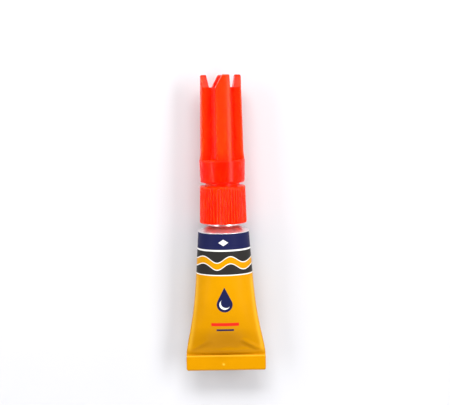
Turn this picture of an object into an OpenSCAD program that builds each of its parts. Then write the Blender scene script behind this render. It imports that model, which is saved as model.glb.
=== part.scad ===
// Small aluminium tube of instant glue with a screwed-on nozzle and a winged cap.
// It lies on its back: cap toward +Y, printed front up along +Z, origin under the middle of its length.

/* [Tube] */
// outside diameter of the round end of the tube
tube_d = 10; // [8:0.1:16]
// thickness of the tube's aluminium wall
wall_t = 0.12; // [0.1:0.01:0.3]
// length of the flattening body, from the fold to the rim of the shoulder
body_l = 24.9; // [18:0.1:60]
// share of the flattening that runs evenly along the body
even_share = 0.34; // [0:0.01:0.6]
// how late the rest of the flattening comes
late_power = 4.8; // [2:0.1:8]
// how the width follows the thickness, so that the girth stays the same
girth_power = 1.8; // [1:0.05:3]

/* [Fold] */
// height of the folded band at the tail
fold_h = 3.1; // [2:0.1:6]
// thickness of the sealing layer pressed between the two walls
seal_t = 0.06; // [0.04:0.01:0.2]
// air between the folded layers
lap_gap = 0.03; // [0.02:0.01:0.1]
// width of foil left closed beside the sealing layer
seal_edge = 0.3; // [0.2:0.05:1]

/* [Shoulder and neck] */
// height of the cone from the rim to the neck
shoulder_h = 1; // [0.8:0.1:3]
// thickness of the shoulder
shoulder_t = 0.34; // [0.25:0.01:0.8]
// chamfer on the rim of the shoulder
rim_c = 0.14; // [0.05:0.01:0.3]
// diameter of the plain boss between the shoulder and the neck
boss_d = 5.6; // [4.8:0.1:8]
// height of that boss
boss_h = 0.4; // [0.1:0.05:1]
// diameter of the neck at the root of its thread
neck_d = 4.6; // [4:0.1:8]
// diameter of the bore in the neck
neck_bore_d = 3.6; // [2.8:0.1:7]
// height of the neck above the shoulder
neck_h = 6.3; // [4:0.1:10]
// thickness of the skin that closes the neck until it is pierced
skin_t = 0.1; // [0.08:0.01:0.3]
// depth of that skin below the mouth of the neck
skin_drop = 0.2; // [0.1:0.05:0.6]

/* [Nozzle] */
// gap along the axis between the rim and the collar
collar_gap = 1.55; // [1.4:0.01:4]
// length of the ribbed collar
collar_l = 7.22; // [5:0.01:12]
// step from the cap's skirt in to the upper end of the collar
collar_step = 0.05; // [0:0.01:0.3]
// spread of the collar's radius from its upper to its lower end
collar_flare = 0.18; // [0:0.01:0.6]
// number of grip ribs round the collar
rib_count = 48; // [24:1:72]
// depth of the grooves between the ribs
rib_depth = 0.14; // [0.08:0.01:0.3]
// width of the grooves between the ribs
rib_groove_w = 0.34; // [0.2:0.01:0.5]
// height of the plain lip above the ribs
lip_h = 0.5; // [0.4:0.05:2]
// rounding of the collar's edges, cut as a chamfer
collar_c = 0.18; // [0.1:0.01:0.4]
// diameter of the land that the cap's skirt slides over
land_d = 6.6; // [5:0.1:9]
// length of that land above the collar
land_l = 3.5; // [2:0.1:6]
// diameter of the spout at its foot
spout_foot_d = 4.1; // [3:0.1:6]
// diameter of the spout at its tip
spout_tip_d = 1.7; // [1.4:0.1:3]
// diameter of the outlet in the tip
outlet_d = 0.84; // [0.6:0.02:1.2]
// length of the outlet's straight part
outlet_l = 8; // [5:0.1:10]
// diameter of the channel above the neck
channel_d = 2.4; // [1.6:0.1:3.6]

/* [Cap] */
// open groove between the collar and the cap
cap_gap = 0.7; // [0.2:0.01:1]
// height of the cap's smooth skirt
skirt_h = 4.43; // [3:0.01:8]
// diameter of the skirt at its upper edge
skirt_top_d = 8.9; // [8:0.01:13]
// diameter of the skirt at its lower edge
skirt_low_d = 8.66; // [8:0.01:13]
// rounding of the skirt's edges, cut as a chamfer
skirt_c = 0.26; // [0.1:0.01:0.4]
// height of the core above the skirt
core_h = 13.9; // [8:0.1:24]
// diameter of the core at its foot
core_low_d = 5.5; // [5:0.1:8]
// diameter of the core at its top
core_top_d = 5.2; // [4.6:0.1:8]
// height of the prongs above the core
prong_h = 2.4; // [1:0.1:4]
// number of wings round the cap, an even number
wing_count = 4; // [4:2:8]
// height over which the wings spread out to the skirt
wing_foot_h = 1.6; // [0.8:0.1:4]
// diameter over the wings above that spread
wing_low_d = 8.4; // [7:0.01:12]
// diameter over the wings at the prongs
wing_top_d = 7.85; // [6.5:0.01:12]
// width of a wing at its foot
wing_low_w = 3; // [1.5:0.05:4]
// width of a wing where its prong begins
wing_top_w = 2.82; // [1.4:0.02:4]
// reach of a prong's tip from the wing's middle on its slanted side
prong_slant_w = 0.1; // [0:0.05:1.4]
// reach of a prong's tip from the wing's middle on its steep side
prong_steep_w = 1.3; // [0.6:0.05:1.9]
// chamfer on the outside of a prong's tip
prong_c = 0.3; // [0.1:0.05:0.8]
// turn of the cap about its axis as it stands on the tube
cap_turn = 8; // [0:1:90]
// width between opposite prongs at the crown's floor
recess_low_w = 4.8; // [3.6:0.1:6]
// width between opposite prongs at their tips
recess_top_w = 5.6; // [4:0.1:6.4]
// thickness of the cap's roof over the spout
roof_t = 1.05; // [0.8:0.05:2]
// diameter of the piercing spike at its foot
spike_d = 1.8; // [1:0.1:3]
// diameter of the spike's blunted point
spike_tip_d = 0.24; // [0.1:0.02:0.6]
// drop of the spike's point below the prongs
spike_drop = 0.4; // [0.2:0.05:1]

/* [Pin] */
// diameter of the steel pin that keeps the outlet clear
pin_d = 0.5; // [0.3:0.02:0.8]
// length of the pin
pin_l = 5.4; // [3:0.1:9]
// depth of the pin in the cap's roof
pin_seat = 0.65; // [0.4:0.05:1]

/* [Fits] */
// radial clearance of the pin in the cap
pin_fit = 0.02; // [0.01:0.01:0.05]
// radial clearance between cap and nozzle
cap_fit = 0.15; // [0.1:0.01:0.3]
// height of the neck's thread, for which the nozzle's socket leaves room
thread_h = 0.3; // [0.2:0.01:0.5]
// radial clearance between the nozzle and that thread
neck_fit = 0.12; // [0.1:0.01:0.3]
// clearance of the glue inside the tube
glue_fit = 0.06; // [0.04:0.01:0.2]
// height of the glue's surface above the axis as the tube lies
glue_level = 0.6; // [-2:0.05:4]

/* [Hidden] */
$fn = 96;
ring_sides = 48;
ring_rows = 18;
cavity_rows = 17;
row_power = 1.6;
bend_steps = 8;

tube_r = tube_d / 2;
band_w = PI * tube_r;
cut = 1;
hair = wall_t / 12;

layer_t = 2 * wall_t + seal_t;
layer_pitch = layer_t + lap_gap;
fold_bend_z = layer_pitch + layer_t / 2;
lap_bend_r = layer_pitch / 2;
lap_bend_z = fold_h - lap_bend_r - layer_t / 2;
lap_end_z = fold_bend_z + layer_t;
stem_z = fold_h + layer_t / 2;
seal_z = fold_h + layer_t / 4;

rim_z = fold_h + body_l;
joint_z = rim_z - shoulder_t - rim_c;
tail_z = fold_h + hair;
end_b = wall_t + hair;
end_a = band_w / 2 - 2 * hair;
cavity_r = tube_r - wall_t - 3 * hair;

boss_r = boss_d / 2;
neck_r = neck_d / 2;
neck_bore_r = neck_bore_d / 2;
neck_z = rim_z + shoulder_h;
boss_top_z = neck_z + boss_h;
neck_top_z = neck_z + neck_h;
skin_z = neck_top_z - skin_drop;

collar_z = rim_z + collar_gap;
collar_top_z = collar_z + collar_l;
collar_top_r = skirt_top_d / 2 - collar_step;
collar_low_r = collar_top_r + collar_flare;
collar_lean = atan((collar_low_r - collar_top_r) / collar_l);
rib_l = collar_l - lip_h;
socket_r = neck_r + thread_h + neck_fit;
socket_top_z = neck_top_z + 2 * neck_fit;
land_r = land_d / 2;
land_z = collar_top_z + land_l;

skirt_z = collar_top_z + cap_gap;
skirt_top_z = skirt_z + skirt_h;
core_z = skirt_top_z + core_h;
total_l = core_z + prong_h;
roof_z = core_z - roof_t;
tip_z = roof_z - 3 * cap_fit;
spout_tip_r = spout_tip_d / 2;
spout_foot_r = spout_foot_d / 2;
outlet_r = outlet_d / 2;
outlet_z = tip_z - outlet_l;
skirt_bore_r = land_r + cap_fit;
step_z = land_z + 3 * cap_fit;
core_low_r = core_low_d / 2;
core_top_r = core_top_d / 2;
wing_low_r = wing_low_d / 2;
wing_top_r = wing_top_d / 2;
wing_root_r = min(core_top_r, recess_low_w / 2) - cap_fit;
spike_z = total_l - spike_drop;
pin_r = pin_d / 2;
pin_hole_r = pin_r + pin_fit;
pin_top_z = roof_z + pin_seat;

// thickness of the body as a share of the round end's, at share s of the way from rim to tail
function thick_share(s) = 1 - even_share * s - (1 - even_share) * pow(s, late_power);
function half_t(s) = end_b + (tube_r - hair - end_b) * thick_share(s);
function half_w(s) = end_a - (end_a - tube_r + hair) * pow(thick_share(s), girth_power);
function row_share(i) = 1 - pow(1 - i / ring_rows, row_power);
function row_z(s) = joint_z - s * (joint_z - tail_z);
function oval(a, b, z) = [for (j = [0 : ring_sides - 1])
    let (q = 360 * j / ring_sides) [a * cos(q), b * sin(q), z]];
function outer_row(i) = let (s = row_share(i)) oval(half_w(s), half_t(s), row_z(s));
function inner_row(i, fit) = let (s = row_share(i), d = wall_t + fit)
    oval(half_w(s) - d, half_t(s) - d, row_z(s));
function flat_list(rows) = [for (r = rows) each r];
function level_cut(row) = [for (p = row) [p[0], max(p[1], -glue_level), p[2]]];

// faces between neighbouring rows, wound for a surface that looks away from the axis
function skin_out(first, rows) = [for (i = [0 : rows - 2], j = [0 : ring_sides - 1])
    let (k = (j + 1) % ring_sides, a = first + i * ring_sides, b = a + ring_sides)
    each [[a + j, a + k, b + k], [a + j, b + k, b + j]]];
function skin_in(first, rows) = [for (f = skin_out(first, rows)) [f[0], f[2], f[1]]];
function lid_at(first, j) = first + (j + ring_sides / 4) % ring_sides;
function lid_low(first) = [[for (j = [0 : ring_sides - 1]) lid_at(first, j)]];
function lid_top(first) = [[for (j = [ring_sides : -1 : 1]) lid_at(first, j)]];
function ring_top(a, b) = [for (j = [0 : ring_sides - 1])
    let (k = (j + 1) % ring_sides)
    each [[a + j, b + j, b + k], [a + j, b + k, a + k]]];

// the folded strip seen from the side: down the back, up the front, down again between the two
function bend(y, z, r, from, to) = [for (i = [0 : bend_steps])
    let (q = from + (to - from) * i / bend_steps) [y + r * cos(q), z + r * sin(q)]];
function strip_side(h, top_z) = concat(
    [[h, top_z]],
    bend(-layer_pitch, fold_bend_z, layer_pitch + h, 0, -180),
    bend(-layer_pitch - lap_bend_r, lap_bend_z, lap_bend_r + h, 180, 0),
    [[-layer_pitch + h, lap_end_z]]);
function turned(list) = [for (i = [len(list) - 1 : -1 : 0]) list[i]];
function strip(h, top_z) = concat(strip_side(h, top_z), turned(strip_side(-h, top_z)));

module lay_down() {
    translate([0, 0, tube_r])
        rotate([-90, 0, 0])
            translate([0, 0, -total_l / 2])
                children();
}

module folded(h, top_z, w) {
    rotate([90, 0, 90])
        linear_extrude(height = w, center = true)
            polygon(strip(h, top_z));
}

module tube_wall() {
    outer_rows = [for (i = [0 : ring_rows]) outer_row(i)];
    inner_rows = [for (i = [0 : cavity_rows]) inner_row(i, 0)];
    inner_first = (ring_rows + 1) * ring_sides;
    polyhedron(
        points = concat(flat_list(outer_rows), flat_list(inner_rows)),
        faces = concat(
            skin_out(0, ring_rows + 1),
            lid_low(ring_rows * ring_sides),
            skin_in(inner_first, cavity_rows + 1),
            lid_top(inner_first + cavity_rows * ring_sides),
            ring_top(0, inner_first)));
}

module shoulder_neck() {
    rotate_extrude()
        polygon([
            [cavity_r, joint_z],
            [tube_r, joint_z],
            [tube_r, rim_z - rim_c],
            [tube_r - rim_c, rim_z],
            [boss_r, neck_z],
            [boss_r, boss_top_z - rim_c],
            [boss_r - rim_c, boss_top_z],
            [neck_r, boss_top_z],
            [neck_r, neck_top_z - rim_c],
            [neck_r - rim_c, neck_top_z],
            [neck_bore_r, neck_top_z],
            [neck_bore_r, skin_z],
            [0, skin_z],
            [0, skin_z - skin_t],
            [neck_bore_r, skin_z - skin_t],
            [neck_bore_r, neck_z - shoulder_t / 2],
            [cavity_r, joint_z + rim_c]]);
}

module tube_shell() {
    color("Gold")
        lay_down()
            difference() {
                union() {
                    tube_wall();
                    shoulder_neck();
                    folded(layer_t / 2, stem_z, band_w);
                }
                folded(seal_t / 2, seal_z, band_w - 2 * seal_edge);
            }
}

module tail_sealant() {
    color("DarkKhaki")
        lay_down()
            folded(seal_t / 2, seal_z, band_w - 2 * seal_edge);
}

module glue() {
    neck_fill_r = neck_bore_r - glue_fit;
    top_fill_r = cavity_r - 2 * glue_fit;
    rows = concat(
        [oval(neck_fill_r, neck_fill_r, skin_z - skin_t - glue_fit)],
        [oval(neck_fill_r, neck_fill_r, neck_z - shoulder_t - glue_fit)],
        [oval(top_fill_r, top_fill_r, joint_z)],
        [for (i = [1 : cavity_rows - 1]) inner_row(i, glue_fit)]);
    count = len(rows);
    color("LightCyan")
        lay_down()
            polyhedron(
                points = flat_list([for (r = rows) level_cut(r)]),
                faces = concat(
                    lid_top(0),
                    skin_out(0, count),
                    lid_low((count - 1) * ring_sides)));
}

module rib_groove() {
    translate([collar_low_r, 0, collar_z])
        rotate([0, -collar_lean, 0])
            translate([0, 0, -cut])
                linear_extrude(height = rib_l + cut)
                    polygon([
                        [-rib_depth, 0],
                        [rib_depth, rib_groove_w],
                        [rib_depth, -rib_groove_w]]);
}

module nozzle() {
    color("OrangeRed")
        lay_down()
            difference() {
                rotate_extrude()
                    polygon([
                        [socket_r + collar_c, collar_z],
                        [collar_low_r - collar_c, collar_z],
                        [collar_low_r, collar_z + collar_c],
                        [collar_top_r, collar_top_z - collar_c],
                        [collar_top_r - collar_c, collar_top_z],
                        [land_r, collar_top_z],
                        [land_r, land_z - collar_c],
                        [land_r - collar_c, land_z],
                        [spout_foot_r, land_z],
                        [spout_tip_r, tip_z - collar_c],
                        [spout_tip_r - collar_c, tip_z],
                        [outlet_r, tip_z],
                        [outlet_r, outlet_z],
                        [channel_d / 2, socket_top_z],
                        [socket_r, socket_top_z],
                        [socket_r, collar_z + collar_c]]);
                for (i = [0 : rib_count - 1])
                    rotate([0, 0, 360 * i / rib_count])
                        rib_groove();
            }
}

module cap_body() {
    rotate_extrude()
        polygon([
            [skirt_bore_r + skirt_c, skirt_z],
            [skirt_low_d / 2 - skirt_c, skirt_z],
            [skirt_low_d / 2, skirt_z + skirt_c],
            [skirt_top_d / 2, skirt_top_z - skirt_c],
            [skirt_top_d / 2 - skirt_c, skirt_top_z],
            [core_low_r, skirt_top_z],
            [core_top_r, core_z],
            [spike_d / 2, core_z],
            [spike_tip_d / 2, spike_z],
            [0, spike_z],
            [0, pin_top_z + pin_fit],
            [pin_hole_r, pin_top_z + pin_fit],
            [pin_hole_r, roof_z],
            [spout_tip_r + cap_fit, roof_z],
            [spout_foot_r + cap_fit, step_z],
            [skirt_bore_r, step_z],
            [skirt_bore_r, skirt_z + skirt_c]]);
}

// one bar right across the cap, seen from its end
module wing_bar() {
    low_w = wing_low_w / 2;
    top_w = wing_top_w / 2;
    rotate([90, 0, 0])
        linear_extrude(height = 2 * wing_low_d, center = true)
            polygon([
                [-low_w, skirt_top_z - cut],
                [low_w, skirt_top_z - cut],
                [low_w, skirt_top_z],
                [top_w, core_z],
                [prong_steep_w, total_l],
                [-prong_slant_w, total_l],
                [-top_w, core_z],
                [-low_w, skirt_top_z]]);
}

// the widening gap that parts the bar's two ends into prongs
module crown_gap() {
    low_w = recess_low_w / 2;
    top_w = recess_top_w / 2;
    rotate([90, 0, 90])
        linear_extrude(height = 2 * wing_low_d, center = true)
            polygon([
                [-low_w, core_z],
                [low_w, core_z],
                [top_w, total_l],
                [top_w, total_l + cut],
                [-top_w, total_l + cut],
                [-top_w, total_l]]);
}

module wing_pair() {
    difference() {
        wing_bar();
        crown_gap();
    }
}

module wings() {
    intersection() {
        rotate_extrude()
            polygon([
                [wing_root_r, skirt_top_z - skirt_c],
                [skirt_top_d / 2, skirt_top_z - skirt_c],
                [wing_low_r, skirt_top_z + wing_foot_h],
                [wing_top_r, total_l - prong_c],
                [wing_top_r - prong_c, total_l],
                [wing_root_r, total_l]]);
        union() {
            for (i = [0 : wing_count / 2 - 1])
                rotate([0, 0, 360 * i / wing_count])
                    wing_pair();
        }
    }
}

module cap() {
    color("OrangeRed")
        lay_down()
            rotate([0, 0, cap_turn])
                union() {
                    cap_body();
                    wings();
                }
}

module cap_pin() {
    color("Silver")
        lay_down()
            translate([0, 0, pin_top_z - pin_l])
                cylinder(r = pin_r, h = pin_l);
}

tube_shell();
tail_sealant();
glue();
nozzle();
cap();
cap_pin();
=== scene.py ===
import math

import bmesh
import bpy
import numpy as np
from mathutils import Matrix


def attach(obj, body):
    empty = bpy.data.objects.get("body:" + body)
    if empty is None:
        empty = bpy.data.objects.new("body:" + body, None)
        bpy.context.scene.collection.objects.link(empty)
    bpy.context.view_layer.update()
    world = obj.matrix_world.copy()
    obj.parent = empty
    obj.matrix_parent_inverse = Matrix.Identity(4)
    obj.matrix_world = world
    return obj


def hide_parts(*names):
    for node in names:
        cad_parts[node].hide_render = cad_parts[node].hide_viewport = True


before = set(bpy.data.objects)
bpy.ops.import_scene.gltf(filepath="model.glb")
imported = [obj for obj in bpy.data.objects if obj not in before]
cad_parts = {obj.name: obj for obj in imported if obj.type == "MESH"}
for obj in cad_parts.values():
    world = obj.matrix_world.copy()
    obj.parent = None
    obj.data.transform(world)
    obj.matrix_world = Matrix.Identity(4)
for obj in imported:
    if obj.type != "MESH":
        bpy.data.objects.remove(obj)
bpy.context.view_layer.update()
print("frame loaded:", ", ".join(sorted(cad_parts)))

mm = 0.001
axisHeight = 5.0    # the tube's axis above the floor, mm
halfLength = 29.1   # from the middle of the object to either end, mm
mergeGap = 2e-7     # points closer than this become one, metres
flatGap = 1e-7      # edges shorter than this are dissolved, metres
cutLimit = 2.02     # a corner's arc takes at most 1 / cutLimit of each run beside it


# surfaces

def place(x, up, z):
    # mm across, out of the printed front and along from the tail, to the shared frame in metres
    x, up, z = np.broadcast_arrays(x, up, z)
    return np.stack([x, z - halfLength, up + axisHeight], -1) * mm


def aroundAxis(r, z, angle):
    # the point at distance r from the axis and angle from the front: (r sin angle, r cos angle)
    return place(r * np.sin(angle), r * np.cos(angle), z)


def ringAngles(count):
    # equal steps once round, as one row
    return np.linspace(0, 2 * math.pi, count, endpoint=False)[None, :]


def ease(low, high, value):
    # 0 at low, 1 at high, and 3t^2 - 2t^3 between; low may be the larger of the two
    t = np.clip((value - low) / (high - low), 0, 1)
    return t * t * (3 - 2 * t)


def hump(value, centre, spread):
    # bell curve: e to the minus square of the distance in spreads
    return np.exp(-((value - centre) / spread) ** 2)


def softPath(corners, gap, closed=False, steps=7):
    # straight runs with an arc at each corner: the runs are cut back by radius x tan(half turn),
    # and the arc between the cuts is blended as (1-t)^2 a + 2t(1-t) corner + t^2 b;
    # then points are added until none is further than gap from the next
    spots = np.array([c[:2] for c in corners], float)
    radii = [c[2] if len(c) > 2 else 0 for c in corners]
    t = np.linspace(0, 1, steps)[:, None]
    path = []
    for i, (spot, radius) in enumerate(zip(spots, radii)):
        inner = closed or 0 < i < len(spots) - 1
        if not (radius and inner):
            path.append(spot[None])
            continue
        back, on = spots[i - 1] - spot, spots[(i + 1) % len(spots)] - spot
        backLength, onLength = np.hypot(*back), np.hypot(*on)
        turn = math.pi - math.acos(np.clip(back @ on / (backLength * onLength), -1, 1))
        cutBack = min(radius * math.tan(turn / 2), backLength / cutLimit, onLength / cutLimit)
        a, b = spot + back / backLength * cutBack, spot + on / onLength * cutBack
        path.append((1 - t) ** 2 * a + 2 * t * (1 - t) * spot + t * t * b)
    path = np.concatenate(path + ([path[0][:1]] if closed else []))
    run = np.r_[0, np.cumsum(np.hypot(*np.diff(path, axis=0).T))]
    counts = np.maximum(np.ceil(np.diff(run) / gap).astype(int), 1)
    where = np.r_[np.repeat(run[:-1], counts), run[-1]]
    share = np.arange(counts.sum()) - np.repeat(np.cumsum(counts) - counts, counts)
    where[:-1] += share / np.repeat(counts, counts) * np.repeat(np.diff(run), counts)
    fine = np.stack([np.interp(where, run, path[:, k]) for k in (0, 1)], -1)
    return fine[:-1] if closed else fine


def turnedSkin(shape):
    # the path, a radius for each height, carried once round the axis
    path = softPath(shape["path"], shape["gap"])
    return aroundAxis(path[:, :1], path[:, 1:], ringAngles(shape["around"]))


def gridFaces(rows, columns, closedRows, first):
    # four neighbours of each cell of the grid; columns wrap, and rows too where they are closed
    i, j = np.meshgrid(np.arange(rows - (not closedRows)), np.arange(columns), indexing="ij")
    i2, j2 = (i + 1) % rows, (j + 1) % columns
    cells = [i * columns + j, i * columns + j2, i2 * columns + j2, i2 * columns + j]
    return first + np.stack(cells, -1).reshape(-1, 4)


def closeMesh(mesh):
    # poles and seams merged, faces outward
    shell = bmesh.new()
    shell.from_mesh(mesh)
    bmesh.ops.remove_doubles(shell, verts=shell.verts, dist=mergeGap)
    bmesh.ops.dissolve_degenerate(shell, edges=shell.edges, dist=flatGap)
    bmesh.ops.recalc_face_normals(shell, faces=shell.faces)
    shell.to_mesh(mesh)
    shell.free()


def gridMesh(name, sheets, closedRows=False, marks=None):
    # marks are values for each point of the sheet, kept for the finish to read
    points, faces, first = [], [], 0
    for sheet in sheets:
        rows, columns = sheet.shape[:2]
        points.append(sheet.reshape(-1, 3))
        faces.append(gridFaces(rows, columns, closedRows, first))
        first += rows * columns
    mesh = bpy.data.meshes.new(name)
    mesh.from_pydata(np.concatenate(points).tolist(), [], np.concatenate(faces).tolist())
    for mark, values in (marks or {}).items():
        layer = mesh.attributes.new(mark, "FLOAT", "POINT")
        layer.data.foreach_set("value", np.ascontiguousarray(values, np.float32).ravel())
    closeMesh(mesh)
    return mesh


def fuseMeshes(name, base, added):
    # one closed skin round both shells, with nothing left inside
    pair = [bpy.data.objects.new(name + "_part", mesh) for mesh in (base, added)]
    for part in pair:
        bpy.context.collection.objects.link(part)
    join = pair[0].modifiers.new("join", "BOOLEAN")
    join.operation, join.solver, join.object = "UNION", "EXACT", pair[1]
    graph = bpy.context.evaluated_depsgraph_get()
    mesh = bpy.data.meshes.new_from_object(pair[0].evaluated_get(graph))
    for part in pair:
        bpy.data.objects.remove(part)
    mesh.name = name
    closeMesh(mesh)
    return mesh


def makePiece(name, mesh, finish, body, nodes, crease=40):
    # crease is the angle in degrees past which an edge is sharp
    mesh.shade_smooth()
    mesh.set_sharp_from_angle(angle=math.radians(crease))
    piece = bpy.data.objects.new(name, mesh)
    bpy.context.collection.objects.link(piece)
    mesh.materials.clear()
    mesh.materials.append(finish)
    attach(piece, body)
    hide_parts(*nodes)
    print(f"{name}: {len(mesh.polygons)} faces on {body}")


# finishes

def linear(red, green, blue):
    # a colour as seen on screen, 0 to 255, to the linear values that the shader takes
    c = np.array([red, green, blue]) / 255
    return (*np.where(c <= 0.04045, c / 12.92, ((c + 0.055) / 1.055) ** 2.4).tolist(), 1.0)


def startFinish(name):
    finish = bpy.data.materials.new(name)
    finish.use_nodes = True
    tree = finish.node_tree
    shader = tree.nodes["Principled BSDF"]
    coords = tree.nodes.new("ShaderNodeTexCoord").outputs["Object"]
    return finish, tree, shader, coords


def feed(tree, socket, value):
    if isinstance(value, bpy.types.NodeSocket):
        tree.links.new(value, socket)
    else:
        socket.default_value = value


def calc(tree, operation, *values):
    node = tree.nodes.new("ShaderNodeMath")
    node.operation = operation
    for socket, value in zip(node.inputs, values):
        feed(tree, socket, value)
    return node.outputs[0]


def squareSum(tree, a, b):
    # a^2 + b^2
    return calc(tree, "ADD", calc(tree, "MULTIPLY", a, a), calc(tree, "MULTIPLY", b, b))


def stretch(tree, value, low, high, toLow, toHigh):
    # low to high becomes toLow to toHigh, and nothing goes past those ends
    node = tree.nodes.new("ShaderNodeMapRange")
    for socket, given in zip(node.inputs, (value, low, high, toLow, toHigh)):
        feed(tree, socket, given)
    return node.outputs[0]


def blendColour(tree, share, a, b):
    node = tree.nodes.new("ShaderNodeMix")
    node.data_type = "RGBA"
    feed(tree, node.inputs["Factor"], share)
    feed(tree, node.inputs[6], a)   # the two colour sockets of this node
    feed(tree, node.inputs[7], b)
    return node.outputs[2]


def speckle(tree, coords, scale, detail=3, rough=0.55, squash=(1, 1, 1)):
    shape = tree.nodes.new("ShaderNodeMapping")
    shape.inputs["Scale"].default_value = squash
    tree.links.new(coords, shape.inputs["Vector"])
    node = tree.nodes.new("ShaderNodeTexNoise")
    node.inputs["Scale"].default_value = scale
    node.inputs["Detail"].default_value = detail
    node.inputs["Roughness"].default_value = rough
    tree.links.new(shape.outputs[0], node.inputs["Vector"])
    return node.outputs[0]


def readMark(tree, mark):
    node = tree.nodes.new("ShaderNodeAttribute")
    node.attribute_name = mark
    return node.outputs["Fac"]


def axisReach(tree, coords):
    # distance from the tube's axis, sqrt(x^2 + (z - axis height)^2), and the place along it, metres
    split = tree.nodes.new("ShaderNodeSeparateXYZ")
    tree.links.new(coords, split.inputs[0])
    up = calc(tree, "SUBTRACT", split.outputs[2], axisHeight * mm)
    return calc(tree, "SQRT", squareSum(tree, up, split.outputs[0])), split.outputs[1]


def addBump(tree, shader, height, distance, strength):
    node = tree.nodes.new("ShaderNodeBump")
    node.inputs["Strength"].default_value = strength
    node.inputs["Distance"].default_value = distance
    tree.links.new(height, node.inputs["Height"])
    tree.links.new(node.outputs[0], shader.inputs["Normal"])


# lengths of the print are mm, with y along the tube from the middle of the object
enamelLook = {
    "yellow": linear(206, 142, 2),
    "patchAndShadeYellow": linear(194, 131, 2),
    "shadeYellow": linear(170, 113, 2),
    "highlightYellow": linear(240, 190, 60),
    "navy": linear(30, 33, 72),
    "charcoal": linear(44, 42, 41),
    "white": linear(236, 234, 230),
    "red": linear(222, 44, 28),
    "bare": linear(176, 172, 164),
    # lower edges of the bands
    "navyEnd": -4.35, "whiteEnd": -4.66, "charcoalEnd": -9.25, "paleEnd": -9.44, "bandSoft": 0.04,
    "waveY": -7.0, "waveHeight": 0.62, "waveLength": 5.2, "waveHalf": 0.62, "waveRim": 0.16,
    "lozengeY": -2.95, "lozengeHalf": (0.95, 0.62),
    "dropY": -15.2, "dropRadius": 1.55, "dropTall": 3.5,
    "shineShare": 0.66, "shineShift": (0.28, 0.34),
    "barOneY": -19.3, "barOneHalf": (2.7, 0.34),
    "barTwoY": -20.5, "barTwoHalf": (1.7, 0.2),
    # deeper yellow in slow patches, and painted shade toward the tail and in the pressed place
    "patchScale": 260, "patchRange": (0.35, 0.7), "patchShare": (-0.2, 0.2),
    "tailShadeY": (-12.0, -24.0), "tailShadeShare": (0.1, 0.8),
    "pressX": -1.2, "pressY": -23.4, "pressHalf": (9.5, 3.7), "pressShadeShare": 0.66,
    # paint rubbed off the metal
    "rubScale": 1500, "rubRough": 0.65, "rubWear": 0.3, "rubRange": (0.86, 0.92), "rubShare": 0.6,
    "dullScale": 700, "dullRange": (0.3, 0.75), "rough": (0.3, 0.44), "specular": 0.03,
    "peelScale": 900, "grainScale": 5200, "grainShare": 0.35,
    "peelHeight": 0.00003, "peelStrength": 0.35,
}


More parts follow.
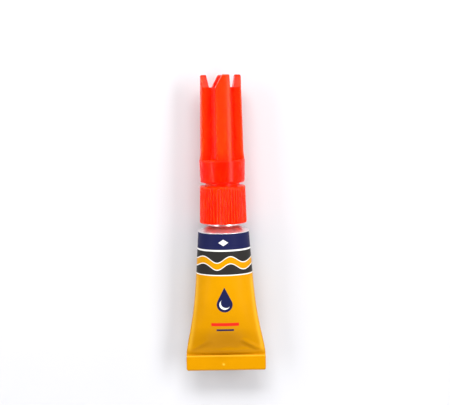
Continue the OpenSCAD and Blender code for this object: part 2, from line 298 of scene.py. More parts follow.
def makeEnamel(look):
    # printed enamel: each sign is a signed distance in mm, painted where it is below 0
    finish, tree, shader, coords = startFinish("tube_enamel")
    split = tree.nodes.new("ShaderNodeSeparateXYZ")
    tree.links.new(coords, split.inputs[0])
    x = calc(tree, "MULTIPLY", split.outputs[0], 1 / mm)
    y = calc(tree, "MULTIPLY", split.outputs[1], 1 / mm)
    front = calc(tree, "GREATER_THAN", split.outputs[2], axisHeight * mm)
    soft = look["bandSoft"]

    def inside(distance):
        return stretch(tree, distance, -soft, soft, 1.0, 0.0)

    def above(edge):
        return stretch(tree, y, edge - soft, edge + soft, 0.0, 1.0)

    def barShape(centreY, half):
        # the larger of |x| - half width and |y - centre| - half height
        across = calc(tree, "SUBTRACT", calc(tree, "ABSOLUTE", x), half[0])
        along = calc(tree, "ABSOLUTE", calc(tree, "SUBTRACT", y, centreY))
        return calc(tree, "MAXIMUM", across, calc(tree, "SUBTRACT", along, half[1]))

    def lozengeShape(centreY, half):
        # |y - centre| + |x| height / width - half height
        along = calc(tree, "ABSOLUTE", calc(tree, "SUBTRACT", y, centreY))
        across = calc(tree, "MULTIPLY", calc(tree, "ABSOLUTE", x), half[1] / half[0])
        return calc(tree, "SUBTRACT", calc(tree, "ADD", along, across), half[1])

    def discShape(centreX, centreY, radius):
        # distance from the centre - radius
        offX = calc(tree, "SUBTRACT", x, centreX)
        offY = calc(tree, "SUBTRACT", y, centreY)
        return calc(tree, "SUBTRACT", calc(tree, "SQRT", squareSum(tree, offX, offY)), radius)

    def dropShape(centreY, radius, tall):
        # a disc joined to the cone of its tangents from the point above it
        slope = math.asin(radius / tall)
        across = calc(tree, "MULTIPLY", calc(tree, "ABSOLUTE", x), math.cos(slope))
        down = calc(tree, "SUBTRACT", centreY + tall, y)
        side = calc(tree, "SUBTRACT", across, calc(tree, "MULTIPLY", down, math.sin(slope)))
        foot = calc(tree, "SUBTRACT", centreY + radius * math.sin(slope), y)
        cone = calc(tree, "MAXIMUM", side, foot)
        return calc(tree, "MINIMUM", discShape(0.0, centreY, radius), cone)

    # slow patches of deeper yellow, and painted shade that grows toward the tail
    patchesAndTailShade = stretch(tree, speckle(tree, coords, look["patchScale"], detail=4),
                    *look["patchRange"], *look["patchShare"])
    patchesAndTailShade = calc(tree, "ADD", patchesAndTailShade, stretch(tree, y, *look["tailShadeY"], *look["tailShadeShare"]))
    colour = blendColour(tree, patchesAndTailShade, look["yellow"], look["patchAndShadeYellow"])
    # painted shade, darkest where the wall is pressed in above the fold, less by the square of the
    # distance
    offX = calc(tree, "DIVIDE", calc(tree, "SUBTRACT", x, look["pressX"]), look["pressHalf"][0])
    offY = calc(tree, "DIVIDE", calc(tree, "SUBTRACT", y, look["pressY"]), look["pressHalf"][1])
    pressShade = stretch(tree, squareSum(tree, offX, offY), 0.0, 1.0, look["pressShadeShare"], 0.0)
    colour = blendColour(tree, pressShade, colour, look["shadeYellow"])

    # the drop's shine is a disc less the same disc moved to one side
    shineRadius = look["dropRadius"] * look["shineShare"]
    shiftX, shiftY = look["shineShift"]
    moved = discShape(shiftX, look["dropY"] + shiftY, shineRadius)
    shine = calc(tree, "MAXIMUM", discShape(0.0, look["dropY"], shineRadius),
                 calc(tree, "MULTIPLY", moved, -1.0))
    for shape, paint in (
            (dropShape(look["dropY"], look["dropRadius"], look["dropTall"]), look["navy"]),
            (shine, look["white"]),
            (barShape(look["barOneY"], look["barOneHalf"]), look["red"]),
            (barShape(look["barTwoY"], look["barTwoHalf"]), look["navy"])):
        colour = blendColour(tree, calc(tree, "MULTIPLY", inside(shape), front), colour, paint)

    # a sine wave with a white rim on the charcoal band, a lozenge on the navy one
    wave = calc(tree, "SINE", calc(tree, "MULTIPLY", x, 2 * math.pi / look["waveLength"]))
    crest = calc(tree, "ADD", look["waveY"], calc(tree, "MULTIPLY", wave, look["waveHeight"]))
    reach = calc(tree, "ABSOLUTE", calc(tree, "SUBTRACT", y, crest))
    charcoal = look["charcoal"]
    for half, paint in ((look["waveHalf"] + look["waveRim"], look["white"]),
                        (look["waveHalf"], look["yellow"])):
        charcoal = blendColour(tree, inside(calc(tree, "SUBTRACT", reach, half)), charcoal, paint)
    lozenge = inside(lozengeShape(look["lozengeY"], look["lozengeHalf"]))
    navy = blendColour(tree, calc(tree, "MULTIPLY", front, lozenge), look["navy"], look["white"])
    for edge, paint in ((look["paleEnd"], look["white"]), (look["charcoalEnd"], charcoal),
                        (look["whiteEnd"], look["white"]), (look["navyEnd"], navy)):
        colour = blendColour(tree, above(edge), colour, paint)

    rub = speckle(tree, coords, look["rubScale"], detail=5, rough=look["rubRough"])
    rub = calc(tree, "ADD", rub, calc(tree, "MULTIPLY", readMark(tree, "wear"), look["rubWear"]))
    rub = stretch(tree, rub, *look["rubRange"], 0.0, look["rubShare"])
    colour = blendColour(tree, rub, colour, look["bare"])
    # painted highlight: paler yellow along the two sides, over the fold's top bend and on the pip
    colour = blendColour(tree, readMark(tree, "paintedHighlight"), colour, look["highlightYellow"])
    tree.links.new(colour, shader.inputs["Base Color"])
    dull = speckle(tree, coords, look["dullScale"], detail=4)
    tree.links.new(stretch(tree, dull, *look["dullRange"], *look["rough"]),
                   shader.inputs["Roughness"])
    shader.inputs["Specular IOR Level"].default_value = look["specular"]
    grain = calc(tree, "MULTIPLY", speckle(tree, coords, look["grainScale"]), look["grainShare"])
    peel = calc(tree, "ADD", speckle(tree, coords, look["peelScale"], detail=2), grain)
    addBump(tree, shader, peel, look["peelHeight"], look["peelStrength"])
    return finish


aluminiumLook = {
    "tint": linear(250, 249, 249), "dull": linear(216, 215, 218),
    "smearScale": 620, "smearRough": 0.6, "smearSquash": (1, 0.5, 1), "smearRange": (0.35, 0.7),
    "roughRange": (0.3, 0.72), "rough": (0.33, 0.45),
    "ringRate": 41600.0, "ringWander": 0.0004, "ringHeight": 0.0000006, "ringStrength": 0.4,
}


def makeAluminium(look):
    # drawn metal: fine rings, the sine of rate x (distance from the axis - place along it),
    # and smears that change its dullness
    finish, tree, shader, coords = startFinish("bare_aluminium")
    smear = speckle(tree, coords, look["smearScale"], detail=4, rough=look["smearRough"],
                    squash=look["smearSquash"])
    tree.links.new(blendColour(tree, stretch(tree, smear, *look["smearRange"], 0.0, 1.0),
                               look["tint"], look["dull"]), shader.inputs["Base Color"])
    tree.links.new(stretch(tree, smear, *look["roughRange"], *look["rough"]),
                   shader.inputs["Roughness"])
    shader.inputs["Metallic"].default_value = 1.0
    reach, along = axisReach(tree, coords)
    path = calc(tree, "ADD", calc(tree, "SUBTRACT", reach, along),
                calc(tree, "MULTIPLY", smear, look["ringWander"]))
    rings = calc(tree, "SINE", calc(tree, "MULTIPLY", path, look["ringRate"]))
    addBump(tree, shader, rings, look["ringHeight"], look["ringStrength"])
    return finish


plasticLook = {
    "orange": linear(255, 52, 0), "deep": linear(255, 35, 0), "shade": linear(232, 8, 0),
    "cloudScale": 240, "cloudRange": (0.3, 0.72),
    # painted shade in the collar's grooves: how far the groove mark pulls toward the shade colour
    "grooveShadeRange": (0.2, 1.0), "grooveShadeShare": 0.8,
    "flowScale": 900, "flowRough": 0.5, "flowSquash": (1, 0.08, 1), "flowRange": (0.3, 0.75),
    "rough": (0.18, 0.28), "specular": 0.11,
    "glow": 1.0, "glowReach": (1.0, 0.12, 0.04), "glowScale": 0.0018,
    "grainScale": 6500, "grainShare": 0.4, "grainHeight": 0.000012, "grainStrength": 0.5,
}
capLook = {
    **plasticLook,
    # the edge colour is painted light on the outer parts of the wings
    "orange": linear(255, 34, 0), "deep": linear(255, 12, 0), "edge": linear(255, 56, 8),
    "edgeReach": (0.0026, 0.0041), "edgeAlong": (0.0122, 0.0142),   # metres
}


def makePlastic(name, look, seed):
    # moulded plastic: slow clouds of colour, long flow marks along the axis and a fine grain
    finish, tree, shader, coords = startFinish(name)
    shift = tree.nodes.new("ShaderNodeMapping")
    shift.inputs["Location"].default_value = (seed, seed, seed)
    tree.links.new(coords, shift.inputs["Vector"])
    spot = shift.outputs[0]
    clouds = speckle(tree, spot, look["cloudScale"])
    flow = speckle(tree, spot, look["flowScale"], rough=look["flowRough"],
                   squash=look["flowSquash"])
    colour = blendColour(tree, stretch(tree, clouds, *look["cloudRange"], 0.0, 1.0),
                         look["orange"], look["deep"])
    # painted shade: deeper red down in the collar's grooves
    groove = stretch(tree, readMark(tree, "groove"), *look["grooveShadeRange"], 0.0, look["grooveShadeShare"])
    colour = blendColour(tree, groove, colour, look["shade"])
    if "edge" in look:
        # painted light and shade: paler toward the outside of the wings, deeper red in toward the
        # core
        reach, along = axisReach(tree, coords)
        litOutside = calc(tree, "MULTIPLY", stretch(tree, reach, *look["edgeReach"], 0.0, 1.0),
                       stretch(tree, along, *look["edgeAlong"], 0.0, 1.0))
        colour = blendColour(tree, litOutside, colour, look["edge"])
    tree.links.new(colour, shader.inputs["Base Color"])
    tree.links.new(stretch(tree, flow, *look["flowRange"], *look["rough"]),
                   shader.inputs["Roughness"])
    shader.inputs["Subsurface Weight"].default_value = look["glow"]
    shader.inputs["Subsurface Radius"].default_value = look["glowReach"]
    shader.inputs["Subsurface Scale"].default_value = look["glowScale"]
    shader.inputs["Specular IOR Level"].default_value = look["specular"]
    grain = calc(tree, "MULTIPLY", speckle(tree, spot, look["grainScale"], detail=2),
                 look["grainShare"])
    addBump(tree, shader, calc(tree, "ADD", flow, grain), look["grainHeight"],
            look["grainStrength"])
    return finish


cloudedLook = {"detail": 4, "grain": 0.6, "range": (0.3, 0.72), "bumpHeight": 0.00001,
               "bumpStrength": 0.4, "squash": (1, 1, 1), "metal": 0.0, "clear": 0.0}
steelLook = {**cloudedLook, "light": linear(188, 188, 192), "dark": linear(140, 140, 146),
             "scale": 2400, "rough": (0.2, 0.42), "squash": (1, 0.05, 1), "metal": 1.0}
glueLook = {**cloudedLook, "light": linear(226, 236, 238), "dark": linear(206, 220, 226),
            "scale": 500, "rough": (0.03, 0.08), "clear": 0.85}
sealantLook = {**cloudedLook, "light": linear(214, 206, 170), "dark": linear(184, 172, 130),
               "scale": 1600, "rough": (0.6, 0.85)}


def makeClouded(name, look):
    # light and dark by one cloud of noise, which also sets the dullness and the bump
    finish, tree, shader, coords = startFinish(name)
    cloud = speckle(tree, coords, look["scale"], look["detail"], look["grain"], look["squash"])
    tree.links.new(blendColour(tree, stretch(tree, cloud, *look["range"], 0.0, 1.0),
                               look["light"], look["dark"]), shader.inputs["Base Color"])
    tree.links.new(stretch(tree, cloud, *look["range"], *look["rough"]),
                   shader.inputs["Roughness"])
    shader.inputs["Metallic"].default_value = look["metal"]
    shader.inputs["Transmission Weight"].default_value = look["clear"]
    addBump(tree, shader, cloud, look["bumpHeight"], look["bumpStrength"])
    return finish


enamel = makeEnamel(enamelLook)
aluminium = makeAluminium(aluminiumLook)
nozzlePlastic = makePlastic("nozzle_plastic", plasticLook, 0.0)
capPlastic = makePlastic("cap_plastic", capLook, 0.013)
pinSteel = makeClouded("pin_steel", steelLook)
glueClear = makeClouded("glue_clear", glueLook)
sealantSoft = makeClouded("sealant_soft", sealantLook)
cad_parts["glue"].data.materials[0] = glueClear
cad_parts["tail_sealant"].data.materials[0] = sealantSoft
print("finishes made")


# tube body and tail fold, mm from the tail

bodyShape = {
    "top": 27.86, "joint": 27.52, "tail": 3.11, "radius": 4.985,
    "endWide": 7.834, "endThick": 0.13, "even": 0.34, "late": 4.8, "girth": 1.8,
    "rows": 132, "rowCurve": 0.92, "around": 192, "lidEdge": 0.05, "tailDrop": 0.02,
    # where the wall may be dented, and how the dent fades toward the two sides
    "freeTail": (0.1, 1.6), "freeTop": (26.5, 22.0), "faceCurve": 0.5,
    "hollow": 0.36, "hollowAt": (0.8, 5.6), "hollowSpread": (3.2, 2.9),
    "ridge": 0.34, "ridgeSpread": 0.5, "ridgeCurve": 0.7,
    "creaseFrom": (3.0, 6.6), "creaseRun": (4.6, -2.9), "creaseNormal": (0.533, 0.846),
    "trough": 0.7, "troughOff": -1.0, "troughSpread": 0.75,
    "mirrorShare": 0.45, "backShare": 0.6,
    # slow unevenness: rates across and along, and the start of each wave
    "wander": 0.02, "wanderWaves": ((1.1, 0.8, 0.0), (-1.9, 0.7, 2.0)),
    "glueLevel": 0.6, "glueGap": 0.18, "spare": 0.05,
    "wear": 0.5, "wearReach": 1.2,
    # painted highlight: paler enamel along the two sides, on the front, fading toward the top and
    # the tail
    "sideHighlight": 0.4, "sideAt": 0.94, "sideSpread": 0.055, "sideFront": 0.3,
    "sideTop": (20.5, 17.5), "sideTail": 2.0,
}


def bodySkin(b):
    # half thickness and half width at share s of the way from rim to tail:
    # full = 1 - even s - (1 - even) s^late, thickness grows with full and width shrinks with
    # full^girth, so that the girth of the oval stays that of the round end
    s = np.linspace(0, 1, b["rows"])[:, None] ** b["rowCurve"]
    full = 1 - b["even"] * s - (1 - b["even"]) * s ** b["late"]
    thick = b["endThick"] + (b["radius"] - b["endThick"]) * full
    wide = b["endWide"] - (b["endWide"] - b["radius"]) * full ** b["girth"]
    z = b["joint"] - s * (b["joint"] - b["tail"])
    angle = ringAngles(b["around"])
    x, up = wide * np.sin(angle), thick * np.cos(angle)
    z = np.broadcast_to(z, x.shape)
    tailLow, tailHigh = b["freeTail"]
    free = ease(b["tail"] + tailLow, b["tail"] + tailHigh, z) * ease(*b["freeTop"], z)
    side = np.where(np.cos(angle) >= 0, 1.0, -1.0) * np.abs(np.cos(angle)) ** b["faceCurve"]

    def pressed(flip):
        # shallow hollow above the fold, and a crease that runs to a corner of the fold:
        # a ridge along the line, and a trough beside it
        runX, runZ = b["creaseRun"]
        normalX, normalZ = b["creaseNormal"]
        offX, offZ = flip * x - b["creaseFrom"][0], z - b["creaseFrom"][1]
        along = np.clip((offX * runX + offZ * runZ) / (runX ** 2 + runZ ** 2), 0, 1)
        away = offX * normalX + offZ * normalZ
        line = b["ridge"] * np.sin(math.pi * along) ** b["ridgeCurve"]
        hollow = hump(x, b["hollowAt"][0] * flip, b["hollowSpread"][0])
        hollow = b["hollow"] * hollow * hump(z, b["hollowAt"][1], b["hollowSpread"][1])
        trough = b["trough"] * line * hump(away, b["troughOff"], b["troughSpread"])
        return line * hump(away, 0, b["ridgeSpread"]) - trough - hollow

    dent = np.where(side > 0, pressed(1.0) + b["mirrorShare"] * pressed(-1.0),
                    b["backShare"] * pressed(-1.0))
    dent = dent + b["wander"] * sum(np.sin(across * x + along * z + start)
                                    for across, along, start in b["wanderWaves"])
    # the dent eases off before it meets the glue behind the wall: -room tanh(depth / room)
    room = np.where(side > 0, up - np.minimum(b["glueLevel"], up - b["glueGap"]), b["glueGap"])
    room = np.maximum(room, b["glueGap"]) - b["spare"]
    dent = np.where(dent < 0, -room * np.tanh(-dent / room), dent)
    skin = place(x, up + side * dent * free, z)
    wear = b["wear"] * ease(b["tail"] + b["wearReach"], b["tail"], z) + 0 * x
    # painted highlight: paler enamel along the two sides, where the wall bends most
    paintedHighlight = hump(np.abs(np.sin(angle)), b["sideAt"], b["sideSpread"])
    paintedHighlight = b["sideHighlight"] * paintedHighlight * ease(0, b["sideFront"], np.cos(angle))
    paintedHighlight = paintedHighlight * ease(*b["sideTop"], z) * ease(b["tail"], b["tail"] + b["sideTail"], z)
    lid = aroundAxis(np.array([[0.0], [b["radius"] - b["lidEdge"]]]), b["top"], angle)
    none = 0 * x[:1]
    tailEnd = place(none, none, z[-1:] - b["tailDrop"])
    return np.concatenate([lid, skin, tailEnd]), {
        "wear": np.concatenate([none, none, wear, none + 1]),
        "paintedHighlight": np.concatenate([none, none, paintedHighlight, none])}


sheet, marks = bodySkin(bodyShape)
makePiece("tube_body", gridMesh("tube_body", [sheet], marks=marks), enamel, "tube",
          ("tube_shell",), crease=60)

foldShape = {
    "half": 7.854, "layer": 0.15, "pitch": 0.33, "lowBend": 0.48, "topBend": 2.785,
    "stem": 3.25, "lapEnd": 0.78, "bendSteps": 15, "gap": 0.09, "columns": 121, "round": 0.14,
    # the ends draw in at the two bends: height, spread and share of each
    "corner": 0.11, "cornerBends": ((0.15, 0.3, 1.0), (2.95, 0.25, 0.5)),
    # a pip on the front face, and the width of the painted highlight on it as a share of the pip's
    # width
    "pip": (-0.5, 1.3, 0.14, 0.24), "pipFace": (0.7, 0.8), "pipHighlightSpread": 0.8,
    "wave": 0.03, "waveFade": (3.1, 1.2), "waveRate": 0.62, "waveStart": 0.6, "waveSpread": 7,
    # tail-end wear, then a painted highlight along the top bend, on the front face
    "wearSpread": 0.12, "bendHighlight": 0.4, "bendAt": (3.02, 0.13), "bendFace": (0.3, 0.6),
}


def foldSkin(f):
    # centre line of the strip from the side: down the back, round, up the front, round, down inside
    pitch, tight = f["pitch"], f["pitch"] / 2
    q = np.linspace(0, math.pi, f["bendSteps"])
    line = np.concatenate([
        [[0, f["stem"]]],
        np.stack([pitch - pitch * np.cos(q), f["lowBend"] - pitch * np.sin(q)], -1),
        np.stack([2 * pitch - tight + tight * np.cos(q), f["topBend"] + tight * np.sin(q)], -1),
        [[pitch, f["lapEnd"]]]])
    line = softPath(line, f["gap"])
    run = np.r_[0, np.cumsum(np.hypot(*np.diff(line, axis=0).T))]
    slope = np.gradient(line, run, axis=0)
    slope /= np.hypot(*slope.T)[:, None]
    normal = np.stack([-slope[:, 1], slope[:, 0]], -1)
    # half the strip's thickness, with a round end on the strip
    ends = np.minimum(run, run[-1] - run)
    thick = f["layer"] * np.sqrt(1 - (1 - np.clip(ends / f["layer"], 0, 1)) ** 2)
    # both faces of the strip, one after the other, make the loop that is carried across the tube
    loop = np.concatenate([line, line[::-1]])
    out = np.concatenate([normal * thick[:, None], -(normal * thick[:, None])[::-1]])
    u = np.linspace(-1, 1, f["columns"])
    u = np.sort(np.r_[u, -u[1:4] ** 3, u[1:4] ** 3])   # a few more columns toward both ends
    draw = sum(share * hump(loop[:, 1], height, spread)
               for height, spread, share in f["cornerBends"])
    half = f["half"] - f["corner"] * draw[None, :] ** 2
    x = u[:, None] * half
    # at both ends the strip's thickness goes down to 0 on a quarter circle
    edge = np.clip((np.abs(x) - (half - f["round"])) / f["round"], 0, 1)
    full = np.sqrt(1 - edge ** 2)
    up = loop[None, :, 0] + out[None, :, 0] * full
    z = loop[None, :, 1] + out[None, :, 1] * full
    pipX, pipZ, pipTall, pipWide = f["pip"]
    face = ease(*f["pipFace"], up)
    up = up + face * pipTall * hump(x, pipX, pipWide) * hump(z, pipZ, pipWide)
    wave = np.sin(f["waveRate"] * x + f["waveStart"]) * hump(x, 0, f["waveSpread"])
    up = up + f["wave"] * ease(*f["waveFade"], z) * wave
    wear = np.clip(hump(z, 0, f["wearSpread"]) + edge, 0, 1)
    # painted highlight: paler enamel over the top bend and over the pip
    paintedHighlight = f["bendHighlight"] * hump(z, *f["bendAt"]) * ease(*f["bendFace"], up)
    pipHighlightWide = pipWide * f["pipHighlightSpread"]
    paintedHighlight = paintedHighlight + face * hump(x, pipX, pipHighlightWide) * hump(z, pipZ, pipHighlightWide)
    return place(x, up, z), {"wear": wear, "paintedHighlight": paintedHighlight}


sheet, marks = foldSkin(foldShape)
makePiece("tail_fold", gridMesh("tail_fold", [sheet], marks=marks), enamel, "tube",
          ("tube_shell",), crease=60)


# shoulder with the neck, and the neck's thread

shoulderShape = {
    "path": [(0, 35.1), (1.7, 35.1, 0.15), (1.82, 35.3, 0.06), (2.3, 35.3, 0.16), (2.3, 29.4, 0.1),
             (2.8, 29.4, 0.06), (2.8, 28.98, 0.5), (4.84, 28.04, 0.08),
             (5.0, 27.98, 0.06), (5.0, 27.84, 0.06), (4.6, 27.8, 0.05), (0, 27.8)],
    "gap": 0.22, "around": 160,
}
threadShape = {"root": 2.24, "crest": 2.6, "pitch": 1.2, "start": 30.15, "turns": 3.9,
               "halfFoot": 0.34, "sink": -0.2, "section": 16, "around": 340}


def threadSkin(t):
    # a rounded ridge carried along a right-handed screw line, fading in and out over half a turn
    end = t["turns"] * 2 * math.pi
    turn = np.linspace(0, end, t["around"])[:, None]
    fade = ease(0, math.pi, turn) * ease(end, end - math.pi, turn)
    q = ringAngles(t["section"])
    reach = t["root"] + (t["crest"] - t["root"]) * fade * np.clip(np.cos(q), t["sink"], 1)
    along = t["start"] + t["pitch"] * turn / (2 * math.pi) + t["halfFoot"] * fade * np.sin(q)
    return aroundAxis(reach, along, turn)


makePiece("tube_shoulder", gridMesh("tube_shoulder", [turnedSkin(shoulderShape)]), aluminium,
          "tube", ("tube_shell",))
makePiece("neck_thread", gridMesh("neck_thread", [threadSkin(threadShape)]), aluminium,
          "tube", ("tube_shell",))


# nozzle

nozzleShape = {
    "path": [(2.92, 29.55, 0.1), (4.58, 29.55, 0.2), (4.4, 36.77, 0.22), (3.3, 36.77, 0.12),
             (3.3, 40.27, 0.2), (2.05, 40.27, 0.25), (0.85, 54.3, 0.2), (0.42, 54.3, 0.12),
             (0.42, 46.3, 2.0), (1.2, 35.54, 0.1), (2.72, 35.54, 0.15), (2.72, 29.75, 0.2)],
    "gap": 0.42, "cornerSteps": 6, "around": 480,
    "ribs": 48, "ribDeep": 0.13, "ribHalf": 0.24, "ribTop": 36.27,
    "ribFade": (0.14, -0.06), "collarReach": (4.1, 4.3),
    "screwDeep": 0.16, "screwPitch": 1.2, "screwFlat": 1.6,
    # the screw groove is cut only between these distances from the axis and these heights
    "socketReach": ((2.6, 2.7), (2.8, 2.74)), "socketHeights": ((30.1, 30.5), (35.3, 34.9)),
}


def nozzleSkin(n):
    # the closed path carried round the axis; grooves cut the collar by
    # depth x (1 + cos of the distance) / 2, and a screw groove cuts the socket by
    # depth x cos of (angle - height in turns)
    path = softPath(n["path"], n["gap"], closed=True, steps=n["cornerSteps"])
    r, z = path[:, :1], path[:, 1:]
    angle = ringAngles(n["around"])
    ribAngle = 2 * math.pi / n["ribs"]
    away = np.abs((angle / ribAngle) % 1 - 0.5) * ribAngle * r
    groove = 0.5 + 0.5 * np.cos(math.pi * np.clip(away / n["ribHalf"], 0, 1))
    fadeHigh, fadeLow = n["ribFade"]
    onCollar = ease(*n["collarReach"], r) * ease(n["ribTop"] + fadeHigh, n["ribTop"] + fadeLow, z)
    (inner, outer), (low, high) = n["socketReach"], n["socketHeights"]
    inSocket = ease(*inner, r) * ease(*outer, r) * ease(*low, z) * ease(*high, z)
    screw = np.cos(angle - z * 2 * math.pi / n["screwPitch"])
    screw = np.clip(screw * n["screwFlat"], 0, 1)
    r = r - n["ribDeep"] * onCollar * groove + n["screwDeep"] * inSocket * screw
    # the groove depth is kept for the finish, which paints shade into the grooves
    return aroundAxis(r, z, angle), {"groove": onCollar * groove}


sheet, marks = nozzleSkin(nozzleShape)
makePiece("nozzle_shell", gridMesh("nozzle_shell", [sheet], closedRows=True, marks=marks),
          nozzlePlastic, "nozzle", ("nozzle",), crease=35)


# cap and its pin; the cap's path is inside, skirt, ledge, core, crown floor and spike

capShape = {
    "path": [(0, 55.42), (0.27, 55.42), (0.27, 54.75), (1.0, 54.75, 0.1), (2.2, 40.72, 0.2),
             (3.45, 40.72, 0.15), (3.45, 37.73, 0.15), (3.7, 37.47, 0.1), (4.33, 37.47, 0.3),
             (4.45, 41.9, 0.26), (2.75, 41.9, 0.2), (2.6, 55.8, 0.14), (0.9, 55.8, 0.2),
             (0.12, 57.8, 0.1), (0, 57.8)],
    "gap": 0.3, "around": 192,
}
wingShape = {
    "turn": 8.0, "count": 4, "rows": 90,
    # heights
    "low": 41.64, "foot": 41.9, "spread": 43.5, "core": 55.8, "tip": 58.2, "coreStep": 0.01,
    # distances from the axis
    "skirtRadius": 4.44, "footRadius": 4.2, "tipRadius": 3.925, "root": 2.45,
    "recessLow": 2.4, "recessTop": 2.8, "spreadCurve": 1.6,
    # half widths; one side of a prong is slanted, the other steep
    "footHalf": 1.5, "coreHalf": 1.41, "tipSlant": 0.1, "tipSteep": 1.3,
    "slantSides": (-1, -1, 1, 1),
    # rounding at the tip, and how far each side follows it
    "tipRound": 0.3, "tipSteps": 9, "drawSteep": 0.6, "drawSlant": 0.2, "drawInner": 0.3,
    "edgeBack": 0.06, "edgeFront": 0.135, "edgeGap": 0.16, "edgeSteps": 6,
}


def wingSkin(w, index):
    # at each height a rounded bar on the wing's own angle,
    # reach = (1 - t) back + t sqrt(outer^2 - side^2), where back is an arc inside the core and
    # flat on a prong; near the tip it draws in on a quarter circle
    roundFrom = w["tip"] - w["tipRound"]
    tipRows = np.sin(np.linspace(0, math.pi / 2, w["tipSteps"]))
    z = np.unique(np.r_[np.linspace(w["low"], roundFrom, w["rows"]),
                        w["core"] - w["coreStep"], w["core"] + w["coreStep"],
                        w["tip"] - w["tipRound"] * (1 - tipRows)])[:, None]
    heights = [w["low"], w["foot"], w["core"], w["tip"]]
    steep = np.interp(z, heights, [w["footHalf"], w["footHalf"], w["coreHalf"], w["tipSteep"]])
    slant = np.interp(z, heights, [w["footHalf"], w["footHalf"], w["coreHalf"], w["tipSlant"]])
    outer = np.interp(z, [w["spread"], w["tip"]], [w["footRadius"], w["tipRadius"]])
    flare = np.clip((w["spread"] - z) / (w["spread"] - w["low"]), 0, 1) ** w["spreadCurve"]
    outer += (w["skirtRadius"] - w["footRadius"]) * flare
    above = z > w["core"]
    recess = np.interp(z, [w["core"], w["tip"]], [w["recessLow"], w["recessTop"]])
    inner = np.where(above, recess, w["root"])
    draw = np.clip((z - roundFrom) / w["tipRound"], 0, 1)
    draw = w["tipRound"] * (1 - np.sqrt(1 - draw ** 2))
    steep, slant = steep - w["drawSteep"] * draw, slant - w["drawSlant"] * draw
    outer, inner = outer - draw, inner + w["drawInner"] * draw
    bar = softPath([(0, -1, w["edgeBack"]), (1, -1, w["edgeFront"]),
                    (1, 1, w["edgeFront"]), (0, 1, w["edgeBack"])],
                   w["edgeGap"], closed=True, steps=w["edgeSteps"])
    lean = w["slantSides"][index]
    out, across = bar[None, :, 0], bar[None, :, 1]
    side = across * np.where(across * lean > 0, slant, steep)
    back = np.where(above, inner, np.sqrt(np.maximum(inner ** 2 - side ** 2, 0)))
    reach = (1 - out) * back + out * np.sqrt(outer ** 2 - side ** 2)
    spin = math.radians(w["turn"]) + index * 2 * math.pi / w["count"]
    x = reach * math.sin(spin) + side * math.cos(spin)
    up = reach * math.cos(spin) - side * math.sin(spin)
    body = place(x, up, z)
    ends = [np.broadcast_to(body[i].mean(0), body[i].shape)[None] for i in (0, -1)]
    return np.concatenate([ends[0], body, ends[1]])


capBody = gridMesh("cap_body", [turnedSkin(capShape)])
wings = gridMesh("cap_wings", [wingSkin(wingShape, i) for i in range(wingShape["count"])])
makePiece("cap_shell", fuseMeshes("cap_shell", capBody, wings), capPlastic, "cap", ("cap",),
          crease=38)

# a ground point, then a plain shank
pinShape = {
    "path": [(0, 50.0), (0.12, 50.0, 0.05), (0.25, 50.6, 0.2), (0.25, 55.4, 0.04), (0, 55.4)],
    "gap": 0.3, "around": 40,
}
makePiece("cap_needle", gridMesh("cap_needle", [turnedSkin(pinShape)]), pinSteel, "pin",
          ("cap_pin",))


# floor, light and camera, metres

stageLook = {
    "radius": 0.42, "sides": 96, "drop": 0.00002,
    "pale": linear(208, 208, 211), "grey": linear(201, 201, 205),
    "cloudScale": 30, "rough": 0.8, "specular": 0.2,
}


def makeFloor(look):
    # a flat disc just under the tube
    angle = ringAngles(look["sides"])[0]
    rim = np.stack([np.cos(angle), np.sin(angle), 0 * angle], -1) * look["radius"]
    rim[:, 2] = -look["drop"]
    mesh = bpy.data.meshes.new("floor")
    mesh.from_pydata(rim.tolist(), [], [list(range(look["sides"]))])
    floor = bpy.data.objects.new("floor", mesh)
    bpy.context.collection.objects.link(floor)
    finish, tree, shader, coords = startFinish("floor_card")
    cloud = speckle(tree, coords, look["cloudScale"], detail=2)
    tree.links.new(blendColour(tree, cloud, look["pale"], look["grey"]),
                   shader.inputs["Base Color"])
    shader.inputs["Roughness"].default_value = look["rough"]
    shader.inputs["Specular IOR Level"].default_value = look["specular"]
    mesh.materials.append(finish)


lightLook = {
    "wall": (0.97, 0.98, 1.0, 1.0), "wallStrength": 1.0, "ceilingStrength": 0.14, "fall": 3.0,
    # name, place, width and length, watts
    "boxes": [("key_left", (-0.33, 0.05, 0.25), (0.14, 0.42), 0.85),
              ("key_right", (0.31, 0.05, 0.30), (0.14, 0.42), 1.5),
              ("head_soft", (0.0, 0.31, 0.27), (0.3, 0.14), 1.8),
              ("tail_soft", (0.0, -0.36, 0.2), (0.3, 0.12), 0.55)],
}


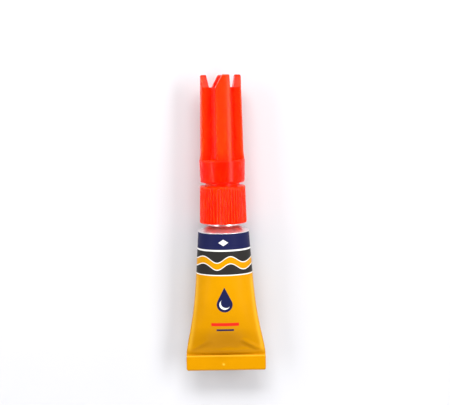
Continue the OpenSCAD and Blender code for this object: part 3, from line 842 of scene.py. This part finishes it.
def makeLight(look):
    # pale walls that fall off toward a dim ceiling:
    # strength = ceiling + (wall - ceiling)(1 - height)^fall
    world = bpy.data.worlds.new("studio")
    bpy.context.scene.world = world
    world.use_nodes = True
    tree = world.node_tree
    room = tree.nodes["Background"]
    room.inputs["Color"].default_value = look["wall"]
    split = tree.nodes.new("ShaderNodeSeparateXYZ")
    tree.links.new(tree.nodes.new("ShaderNodeTexCoord").outputs["Generated"], split.inputs[0])
    low = calc(tree, "SUBTRACT", 1.0, calc(tree, "MAXIMUM", split.outputs[2], 0.0))
    share = calc(tree, "POWER", low, look["fall"])
    tree.links.new(stretch(tree, share, 0.0, 1.0, look["ceilingStrength"], look["wallStrength"]),
                   room.inputs["Strength"])
    for name, spot, size, power in look["boxes"]:
        lamp = bpy.data.lights.new(name, "AREA")
        lamp.shape, lamp.size, lamp.size_y, lamp.energy = "RECTANGLE", *size, power
        box = bpy.data.objects.new(name, lamp)
        bpy.context.collection.objects.link(box)
        # the lamp's back points away from the tube, its long side lies along the tube
        back = np.array(spot) / np.linalg.norm(spot)
        side = np.cross((0, 1, 0), back)
        side /= np.linalg.norm(side)
        axes = np.stack([side, np.cross(back, side), back], 1)
        box.matrix_world = Matrix.Translation(spot) @ Matrix(axes.tolist()).to_4x4()


# angles in degrees, focal length and width in pixels
cameraLook = {
    "spot": (0.00408, 0.0260, 0.2089), "tilt": 6.072, "yaw": -1.027, "roll": -1.059,
    "focal": 1050.0, "wide": 450.0, "sensor": 36.0, "clip": (0.005, 20.0),
}


def makeCamera(look):
    # looks down, tipped and turned by the angles, then rolled about its own line of sight
    tilt, yaw, roll = (math.radians(look[k]) for k in ("tilt", "yaw", "roll"))
    ahead = np.array([math.sin(yaw), -math.sin(tilt) * math.cos(yaw),
                      -math.cos(tilt) * math.cos(yaw)])
    up = np.array([0, math.cos(tilt), -math.sin(tilt)])
    up = up - ahead * (up @ ahead)
    up /= np.linalg.norm(up)
    right = np.cross(ahead, up)
    right, up = (math.cos(roll) * right + math.sin(roll) * up,
                 math.cos(roll) * up - math.sin(roll) * right)
    lens = bpy.data.cameras.new("photo_camera")
    lens.sensor_width = look["sensor"]
    lens.lens = look["sensor"] * look["focal"] / look["wide"]
    lens.clip_start, lens.clip_end = look["clip"]
    camera = bpy.data.objects.new("photo_camera", lens)
    bpy.context.collection.objects.link(camera)
    axes = np.stack([right, up, -ahead], 1)
    camera.matrix_world = Matrix.Translation(look["spot"]) @ Matrix(axes.tolist()).to_4x4()
    bpy.context.scene.camera = camera


makeFloor(stageLook)
makeLight(lightLook)
makeCamera(cameraLook)
bpy.context.scene.view_settings.view_transform = "Standard"
print("floor, lights and camera set")
